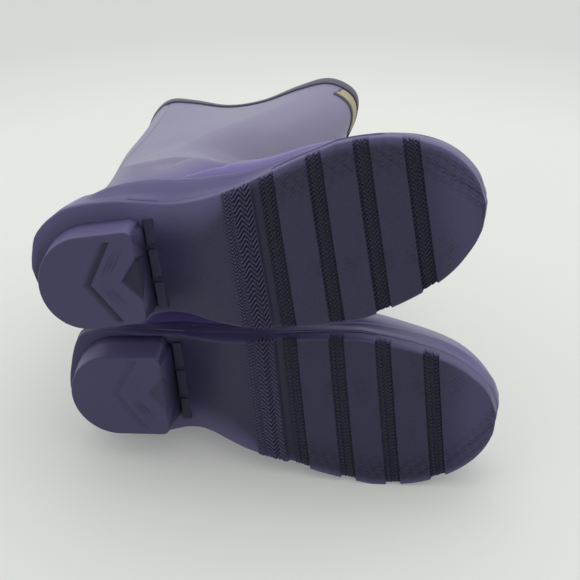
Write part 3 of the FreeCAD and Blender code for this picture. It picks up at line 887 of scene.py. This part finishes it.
def leg_sheet(boot, middle, half, low, high, lift, rows=8, columns=24):
    """Sheet on the leg's wall between two heights, centred near a point (u, v)."""
    grid = []
    for j in range(rows + 1):
        ring, below = ring_at(boot, mix(low, high, j / rows))
        start = min(range(RING_POINTS),
                    key=lambda k: math.dist((ring[k].x, ring[k].y), middle))
        grid.append([ring_point(ring, below, start, mix(-half, half, i / columns), lift)
                     for i in range(columns + 1)])
    return laid(grid)


# ---------------------------------------------------------------------------- the soles
def zigzag(u, v, ribs):
    """Height from 0 to 1 of herringbone ribs."""
    period, pitch, depth = ribs
    fold = abs((u / period) % 1.0 - 0.5) * period * 1.3
    return ease(0.5 + 0.75 * math.cos(2 * math.pi * (v + fold) / pitch))


def worn_patch(u, v):
    """How much of the faint rib pattern is left on the smooth bars, 0 to 1."""
    inner = bump(inner_edge(u) - v, 13.0, 11.0)
    middle = 0.75 * bump(v, -12.0, 9.0) * (0.5 + 0.5 * math.sin(u * 0.31 + 1.0))
    broken = 0.6 + 0.4 * math.sin(u * 0.9 + v * 0.23) * math.sin(v * 0.55 - u * 0.2)
    return max(inner, middle) * broken


def tread(u, v):
    """Height of the forefoot's ground face over its spring line."""
    if u < BAND_END:
        if u > BAND_SPLIT:
            return COARSE_RIBS[2] * (1 - zigzag(u - BAND_SPLIT, v, COARSE_RIBS))
        return FINE_RIBS[2] * (1 - zigzag(u, v, FINE_RIBS))
    if u < FIRST_GROOVE:
        return mix(0.4, GROOVE_DEPTH, ease((u - BAND_END) / 2.4))
    k = int((u - FIRST_GROOVE) / GROOVE_PITCH)
    into = u - FIRST_GROOVE - k * GROOVE_PITCH
    if k < GROOVE_COUNT and into <= GROOVE_WIDTH:
        return GROOVE_DEPTH - GROOVE_RIBS[2] * zigzag(into, v, GROOVE_RIBS)
    return WORN_RIBS[2] * worn_patch(u, v) * (1 - zigzag(u, v, WORN_RIBS))


def furrow_shade(u, v):
    """Painted shade in the tread's hollows, 0 to 1."""
    if u < BAND_END:
        return min(1.0, tread(u, v) / 1.5)
    if u < FIRST_GROOVE:
        return 0.45
    if (u - FIRST_GROOVE) % GROOVE_PITCH <= GROOVE_WIDTH and tread(u, v) > 1.0:
        return min(1.0, 0.3 + 0.7 * (tread(u, v) - GROOVE_DEPTH + 1.5) / 1.5)
    return 0.8 * tread(u, v)


def sole_stations():
    """Where the sole is cut across: close together where the tread is fine."""
    at_heel = (-1.2, -1.0, -0.7, -0.3, 0.3, 1.0, 2.0, 3.2, 4.6, 6.2, 8.0, 10.0, 12.5)
    at_toe = (6.5, 5.5, 4.5, 3.6, 2.8, 2.0, 1.4, 0.9, 0.5, 0.2, 0.03)
    stations = list(at_heel) + [SOLE_LENGTH - left for left in at_toe]
    stations += [15.0 + 3.0 * k for k in range(19)]
    stations += [BREAST + 2.5 * k for k in range(1, 25)]
    u = BAND_START
    stations += [u - 0.3]
    while u < FIRST_GROOVE - 0.2:
        stations.append(u)
        u += RIB_STEP
    for k in range(GROOVE_COUNT):
        start = FIRST_GROOVE + k * GROOVE_PITCH
        end = start + GROOVE_WIDTH
        stations += [start - 0.25, start]
        stations += [start + GROOVE_WIDTH * step / 14 for step in range(1, 14)]
        stations += [end, end + 0.25]
        stop = start + GROOVE_PITCH if k < GROOVE_COUNT - 1 else SOLE_LENGTH - 7.0
        u = end + BAR_STEP
        while u < stop - BAR_STEP / 2:
            stations.append(u)
            u += BAR_STEP
    return sorted(set(stations))


def outsole(boot):
    """Flange, waist and forefoot in one, drawn from cuts across the sole."""
    rows = []
    for u in sole_stations():
        low, high = flange_outer(u), flange_inner(u)
        top = sole_top(u) - 0.2
        crown = through(CROWN, u)
        in_groove = 0.0
        if u > FIRST_GROOVE:
            in_groove = float((u - FIRST_GROOVE) % GROOVE_PITCH <= GROOVE_WIDTH
                              and u < FIRST_GROOVE + GROOVE_COUNT * GROOVE_PITCH)
        ring = []
        for k in range(SOLE_ACROSS + 1):
            v = mix(low, high, k / SOLE_ACROSS)
            from_edge = min(v - low, high - v)
            round_off = 0.9 * (1 - min(1.0, from_edge / 1.2)) ** 2
            if u <= BREAST:
                z = HEEL_HEIGHT
            elif u < BAND_START:
                z = sole_under(u)
            else:
                z = spring(u) + tread(u, v)
            inset = 0.8 * in_groove * math.copysign(1.0, v)
            fade = max(0.0, 1 - from_edge / 3.0)
            z += crown * abs(2 * k / SOLE_ACROSS - 1) ** 3.5
            ring.append(Vector((u, v - inset * fade, min(z + round_off, top - 1.0))))
        base = ring[-1].z
        for share, out in ((0.3, 0.0), (0.75, 0.0), (0.9, -0.15), (1.0, -0.7)):
            ring.append(Vector((u, high + out, mix(base, top, share))))
        base = ring[0].z
        for k in range(1, 8):
            ring.append(Vector((u, mix(high - 0.7, low + 0.7, k / 8), top)))
        for share, out in ((1.0, 0.7), (0.9, 0.15), (0.75, 0.0), (0.3, 0.0)):
            ring.append(Vector((u, low + out, mix(base, top, share))))
        ring.append(ring[0].copy())
        rows.append(ring)
    mesh = laid(rows)
    close_ends(mesh)
    # Painted shade in the tread's hollows, painted light on the flanks and edges.
    boot.add("outsole", mesh, "sole", ["outsole"],
             hollow=lambda p: furrow_shade(p.x, p.y)
             if p.x > BAND_START and p.z < spring(p.x) + GROOVE_DEPTH + 2.2 else 0.0,
             flank=lambda p: sole_painted_light(p.x, p.y))


def sole_painted_light(u, v):
    """Painted light on the sole: at the heel's flange, near the inner edge, at the toe, on the zigzag band's rib
    tops, and as thin edge highlights along both edges.
    """
    from_edge = flange_inner(u) - v
    heel = (0.3 + 0.25 * ease(v / 30.0)) * (1 - ease((u - 70.0) / 14.0))
    near_edge = 0.7 * ease(1 - from_edge / mix(28.0, 7.0, ease((u - 110.0) / 40.0)))
    toe = 0.32 * ease((u - 250.0) / 30.0)
    rib = 0.45 * (1 - tread(u, v) / 1.8) if BAND_START < u < BAND_END else 0.0
    outer_side = 0.8 - (v - flange_outer(u)) / 1.8
    return max(heel, near_edge, toe, rib, 1.0 - from_edge / 1.8, outer_side)


def heel_half(u, grow):
    """Half width of the heel's D shape at u, grown by the flare."""
    half = HEEL_HALF + grow
    centre = HEEL_BACK + HEEL_HALF
    if u < centre:
        return math.sqrt(max(0.0, half ** 2 - (u - centre) ** 2))
    corner = u - (BREAST - HEEL_CORNER)
    if corner > 0:
        return half - HEEL_CORNER + math.sqrt(max(0.0, HEEL_CORNER ** 2 - corner ** 2))
    return half


def heel_face(u, v, wear):
    """Height of the heel's ground face: a sunk V with ribs ahead of it and a notch at
    the breast, all shallower where the heel is worn."""
    side = abs(v + V_MIDDLE)
    ahead = u - V_POINT - side * V_SLOPE
    sunk = ease((ahead + 6.5) / 5.2) * (1 - ease(ahead / 0.6)) * (1 - ease((side - 25.0) / 2.0))
    ribs = 0.5 - 0.5 * math.cos(2 * math.pi * (ahead - 6.6) / 2.7)
    arm = bump(side, 12.0, 7.0) if v > -V_MIDDLE else (1 - wear) * bump(side, 9.0, 7.0)
    ribbed = ribs * arm * ease((ahead - 4.6) / 0.8) * (1 - ease((ahead - 12.4) / 0.8))
    notch = ease((u - V_POINT - 19.5 - side * 0.8) / 2.6) * (1 - ease((side - 15.0) / 2.0))
    return (1.8 * sunk + 2.6 * notch) * (1 - wear) + 0.8 * ribbed


def heel_block(boot):
    """D-shaped heel, drawn from cuts across it, with its ground face worn or sharp."""
    rows = []
    count = 104
    wear = WEAR[boot.side]
    for step in range(count + 1):
        share = step / count
        share = share ** 1.6 if share < 0.35 else mix(0.35 ** 1.6, 1.0, (share - 0.35) / 0.65)
        ring = []

        def side_point(z, sign, tuck):
            grow = HEEL_FLARE * z / HEEL_HEIGHT - tuck
            back = HEEL_BACK - grow
            u = mix(back, BREAST - 0.25 * tuck + BREAST_SLOPE * z / HEEL_HEIGHT, share)
            return Vector((u, sign * heel_half(u, grow) - HEEL_OUTSET, z))

        def ground_point(across):
            u = mix(HEEL_BACK + 1.0, BREAST - 0.5, share)
            half = heel_half(u, -1.0)
            v = mix(-half, half, across) - HEEL_OUTSET
            return Vector((u, v, heel_face(u, v, wear)))

        ring += [ground_point(k / HEEL_ACROSS) for k in range(HEEL_ACROSS + 1)]
        ring += [side_point(z, 1, tuck) for z, tuck in ((0.25, 0.45), (0.8, 0.1), (1.6, 0.0),
                                                        (8.0, 0.0), (16.0, 0.0), (24.0, 0.0))]
        top = side_point(24.0, 1, 0.0)
        foot = side_point(24.0, -1, 0.0)
        ring += [top.lerp(foot, k / 6) for k in range(1, 6)]
        ring += [side_point(z, -1, tuck) for z, tuck in ((24.0, 0.0), (16.0, 0.0), (8.0, 0.0),
                                                         (1.6, 0.0), (0.8, 0.1), (0.25, 0.45))]
        ring.append(ring[0].copy())
        rows.append(ring)
    mesh = laid(rows)
    close_ends(mesh)
    # Painted shade in the sunk V and the notch; painted light on the side walls, faint on the ground face.
    boot.add("heel_block", mesh, "sole", ["heel_block"],
             hollow=lambda p: heel_face(p.x, p.y, wear) / 1.8 if p.z < 3.0 else 0.0,
             flank=lambda p: mix(0.3, 0.85, ease(p.z - 0.3))
             if p.x < BREAST - 1.0 and abs(p.y + HEEL_OUTSET) > heel_half(p.x, 0.0) - 1.6 else 0.3)


def breast_step(boot):
    """Stepped strip where the waist meets the heel, with two notches."""
    rows = []
    low, high = STRIP_ACROSS
    for k in range(119):
        v = mix(low, high, k / 118)
        notched = min(abs(v - notch) for notch in STRIP_NOTCHES) < 2.0
        under = sole_under(STRIP_START) - (0.3 if notched else 2.0)
        top = sole_under(STRIP_END) + 1.2
        profile = [(STRIP_START, top), (STRIP_START, under + 0.9), (STRIP_START + 0.7, under),
                   (STRIP_END - 1.6, under), (STRIP_END - 0.4, under + 0.9),
                   (STRIP_END, under + 2.2), (STRIP_END, top), (STRIP_START, top)]
        rows.append([Vector((u, v, z)) for u, z in profile])
    mesh = laid(rows)
    close_ends(mesh)
    # The whole strip is darkened a little: painted shade.
    boot.add("breast_step", mesh, "sole", smooth=False, hollow=lambda p: 0.22)


def foxing(boot):
    """Strip round the joint of sole and upper, thinner at its upper edge."""
    stations = [-1.0 + (SOLE_LENGTH + 1.0) * (0.5 - 0.5 * math.cos(math.pi * k / 130))
                for k in range(131)]
    stations = [min(u, SOLE_LENGTH - 0.3) for u in stations]
    loop = [Vector((u, flange_inner(u), sole_top(u))) for u in stations]
    loop += [Vector((u, flange_outer(u), sole_top(u))) for u in stations[::-1]]
    count = len(loop)
    ways = []
    for k in range(count):
        along = (loop[(k + 1) % count] - loop[k - 1]).normalized()
        ways.append(Vector((-along.y, along.x, 0.0)).normalized())
    columns = [[skin_offset(boot, here + Vector((0, 0, rise)), way) for rise in FOXING_RISES]
               for here, way in zip(loop, ways)]
    rows = []
    for k in list(range(count)) + [0]:
        offsets = [steady(columns, k, level) for level in range(len(FOXING_RISES))]
        outs = [max(offset + lift, least)
                for offset, lift, least in zip(offsets, FOXING_LIFTS, FOXING_LEAST)]
        levels = [loop[k] + Vector((0, 0, rise)) for rise in FOXING_RISES]
        face = [level + ways[k] * out for level, out in zip(levels, outs)]
        back = [level + ways[k] * (min(offset, out) - 0.6)
                for level, offset, out in zip(levels, offsets, outs)]
        rows.append(face + back[::-1] + [face[0].copy()])
    boot.add("foxing", laid(rows), "trim", ["foxing"])


def skin_offset(boot, here, way):
    """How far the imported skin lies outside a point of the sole's edge, if it is found."""
    start = here + way * 60.0
    hit = boot.skin.ray_cast(start, -way)[0]
    if hit is None or (hit - start).length > 90.0:
        return None
    return 60.0 - (hit - start).length


def steady(columns, k, level):
    """Middle value of the offsets around one place, which leaves out stray ones."""
    near = [columns[(k + step) % len(columns)][level] for step in range(-3, 4)]
    near = sorted(offset for offset in near if offset is not None)
    return near[len(near) // 2] if near else 0.0


def back_strip(boot):
    """Reinforcement up the back of the leg, from the heel to the edging."""
    rows = []
    for index in range(1, len(boot.rings)):
        ring, below = boot.rings[index], boot.rings[index - 1]
        if boot.cuts[index][0][1] < HEEL_SEAT + FOXING_HEIGHT + 1.0:
            continue
        if ring[0].z > LEG_HEIGHT - BAND_HEIGHT:
            continue
        half = mix(*BACK_STRIP_HALF, boot.cuts[index][1] ** 0.7)
        row = []
        for step in range(41):
            share = step / 20 - 1
            lift = 0.15 + 0.75 * (1 - abs(share) ** 24)
            row.append(ring_point(ring, below, 0, half * share, lift))
        rows.append(row)
    mesh = laid(rows)
    walled(mesh, BACK_STRIP_WALL)
    boot.add("back_strip", mesh, "strip", ["back_strip"])


def label(boot):
    """Bare cloth label at the front of the leg, with a raised edging of rubber."""
    middle = LABEL_MIDDLE[boot.side]
    cloth = leg_sheet(boot, middle, LABEL_HALF, LABEL_LOW, LABEL_LOW + LABEL_WIDTH, LABEL_LIFT)
    walled(cloth, LABEL_WALL)
    boot.add("label", cloth, "label", ["label"])
    rail = leg_sheet(boot, middle, LABEL_HALF + 1.8, LABEL_LOW - 1.6,
                     LABEL_LOW + LABEL_WIDTH + 1.4, RAIL_LIFT)
    walled(rail, RAIL_WALL)
    boot.add("label_frame", rail, "edging", ["label_frame"])


# ------------------------------------------------------------------- floor, light, view
def stage_finish():
    """Finish of the floor, with painted shade that makes it a little darker further away from the pair."""
    graph = Graph("studio_paper")
    place = graph.node("ShaderNodeTexCoord", {}, {}, "Object")
    clouds = graph.noise(place, 3.0, 2.0)
    reach = graph.node("ShaderNodeVectorMath", {"operation": "LENGTH"}, {0: place}, "Value")
    far_shade = ((reach - PAPER_PALE) * (1.0 / PAPER_FADE)).clamped()
    paper = graph.blend(clouds, shade(196, 197, 191), shade(202, 203, 197))
    return graph.finish(**{"Base Color": graph.blend(far_shade, paper, shade(184, 185, 181)),
                           "Roughness": 0.9, "Specular IOR Level": 0.1,
                           # A faint glow of the floor: painted fill light that lightens the shadows.
                           "Emission Color": graph.blend(far_shade, shade(236, 237, 232),
                                                         shade(222, 223, 218)),
                           "Emission Strength": 0.2})


def studio():
    """Pale floor under the pair."""
    mesh = bmesh.new()
    bmesh.ops.create_circle(mesh, cap_ends=True, segments=96, radius=PAPER_REACH)
    data = bpy.data.meshes.new("studio")
    mesh.to_mesh(data)
    mesh.free()
    floor = bpy.data.objects.new("studio", data)
    floor.data.materials.append(stage_finish())
    bpy.context.scene.collection.objects.link(floor)


def camera():
    lens = bpy.data.cameras.new("camera")
    lens.sensor_width = 36.0
    lens.lens = LENS
    lens.clip_start = 0.01
    seen = bpy.data.objects.new("camera", lens)
    seen.location = CAMERA_PLACE
    seen.rotation_euler = (math.pi / 2 - VIEW_DROP, 0.0, VIEW_TURN)
    bpy.context.scene.collection.objects.link(seen)
    bpy.context.scene.camera = seen


def lamp(name, place, aim, size, power):
    light = bpy.data.lights.new(name, "AREA")
    light.shape = "SQUARE"
    light.size = size
    light.energy = power
    body = bpy.data.objects.new(name, light)
    body.location = place
    body.rotation_euler = (Vector(aim) - Vector(place)).to_track_quat("-Z", "Y").to_euler()
    bpy.context.scene.collection.objects.link(body)


def lights():
    lamp("overhead", (0.1, 0.5, 1.9), (0.0, 0.0, 0.0), 1.8, 9.0)
    world = bpy.data.worlds.new("world")
    bpy.context.scene.world = world
    world.use_nodes = True
    sky = world.node_tree.nodes["Background"]
    sky.inputs["Color"].default_value = SKY
    sky.inputs["Strength"].default_value = SKY_LEVEL


# ---------------------------------------------------------------------------- the pair
for side in ("right", "left"):
    boot = Boot(side)
    upper(boot)
    lining(boot)
    heel_stiffener(boot)
    toe_puff(boot)
    if side == "left":
        footbed(boot)
    binding(boot)
    outsole(boot)
    heel_block(boot)
    breast_step(boot)
    foxing(boot)
    back_strip(boot)
    label(boot)
    for inner, finish in INNER_FINISHES.items():
        node = frame["nodes"][side + "_" + inner]
        node.data.materials.clear()
        node.data.materials.append(finish)

studio()
camera()
lights()
bpy.context.scene.view_settings.view_transform = "Standard"
